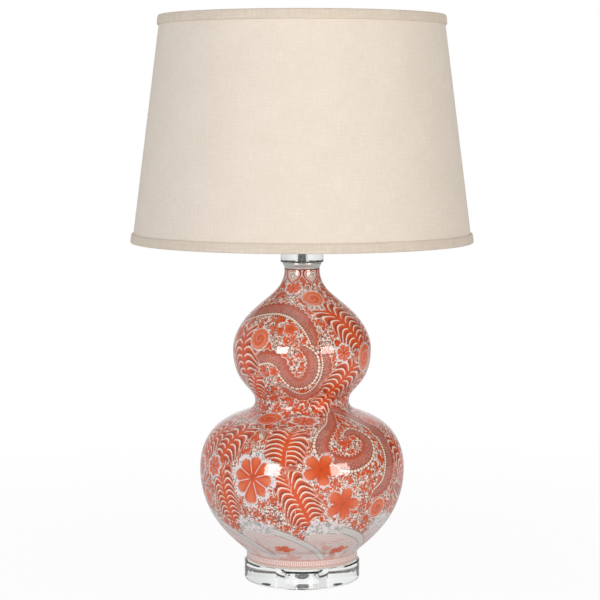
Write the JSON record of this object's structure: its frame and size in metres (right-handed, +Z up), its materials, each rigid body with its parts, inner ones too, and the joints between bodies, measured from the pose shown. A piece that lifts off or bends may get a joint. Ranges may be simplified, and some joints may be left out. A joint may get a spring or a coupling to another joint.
{
  "type": "table lamp",
  "caption": "Table lamp with a painted double gourd body on a clear disc, a clear neck collar and a tapered drum shade carried by a harp.",
  "frame": {"origin": "centre of the footprint, at the height of the table that the lamp stands on", "axes": "+Z up along the lamp's axis, -Y to the front, +X to the viewer's right; the lead leaves at the back, +Y"},
  "size_m": [0.4063, 0.4064, 0.6774],
  "materials": {
    "clear_rubber": "clear, soft",
    "acrylic": "clear, polished",
    "black_plastic": "moulded black",
    "zinc_steel": "zinc plated",
    "brass": "plain brass",
    "foam": "thin white gasket",
    "nylon": "natural nylon",
    "porcelain": "white porcelain, painted in coral and iron red under a clear glaze",
    "satin_nickel": "satin nickel plate",
    "card": "pressed card",
    "solder": "dull solder",
    "black_glass": "black glass insulator",
    "bulb_cap": "rolled thread",
    "opal_glass": "opal, soft white",
    "styrene": "white styrene",
    "linen": "natural linen, plain weave",
    "hem_tape": "folded linen tape",
    "white_wire": "white powder coat"
  },
  "bodies": {
    "stand": {"bumper_feet": "clear_rubber", "base_disc": "acrylic", "outlet_bush": "black_plastic", "recess_washer": "zinc_steel", "spring_washer": "zinc_steel", "recess_nut": "brass", "threaded_pipe": "zinc_steel", "foot_gasket": "foam", "foot_bush": "nylon", "gourd_body": "porcelain", "neck_gasket": "foam", "vase_cap": "satin_nickel", "neck_spacer": "acrylic", "check_ring": "satin_nickel", "seat_nut": "satin_nickel", "harp_saddle": "satin_nickel", "holder_cap": "satin_nickel", "holder_shell": "satin_nickel", "holder_sleeve": "card", "holder_core": "black_plastic", "terminal_screws": "brass", "screw_shell": "brass", "centre_contact": "brass"},
    "switch": {"switch_key": "black_plastic"},
    "bulb": {"lamp_tip": "solder", "lamp_cone": "black_glass", "lamp_cap": "bulb_cap", "lamp_glass": "opal_glass"},
    "harp": {"harp_loop": "satin_nickel"},
    "left_ferrule": {"ferrule_left": "satin_nickel"},
    "right_ferrule": {"ferrule_right": "satin_nickel"},
    "swivel": {"harp_swivel": "satin_nickel"},
    "shade": {"shade_liner": "styrene", "shade_cloth": "linen", "shade_seam": "linen", "shade_top_hem": "hem_tape", "shade_bottom_hem": "hem_tape", "shade_bottom_ring": "white_wire", "spider": "white_wire"},
    "knob": {"finial": "satin_nickel"}
  },
  "joints": [
    {"name": "switch_turn", "type": "hinge", "parent": "stand", "child": "switch", "pos_m": [0, -0.02, 0.4565], "axis": [0, -1, 0], "continuous": true},
    {"name": "bulb_unscrew", "type": "slide", "parent": "stand", "child": "bulb", "axis": [0, 0, 1], "range_m": [0, 0.03]},
    {"name": "harp_lift", "type": "slide", "parent": "stand", "child": "harp", "axis": [0, 0, 1], "range_m": [0, 0.02]},
    {"name": "left_ferrule_lift", "type": "slide", "parent": "harp", "child": "left_ferrule", "axis": [0, 0, 1], "range_m": [0, 0.016]},
    {"name": "right_ferrule_lift", "type": "slide", "parent": "harp", "child": "right_ferrule", "axis": [0, 0, 1], "range_m": [0, 0.016]},
    {"name": "shade_turn", "type": "hinge", "parent": "harp", "child": "swivel", "pos_m": [0, 0, 0.6494], "axis": [0, 0, 1], "continuous": true},
    {"name": "shade_lift", "type": "slide", "parent": "swivel", "child": "shade", "axis": [0, 0, 1], "range_m": [0, 0.03]},
    {"name": "finial_unscrew", "type": "slide", "parent": "shade", "child": "knob", "axis": [0, 0, 1], "range_m": [0, 0.016]}
  ]
}
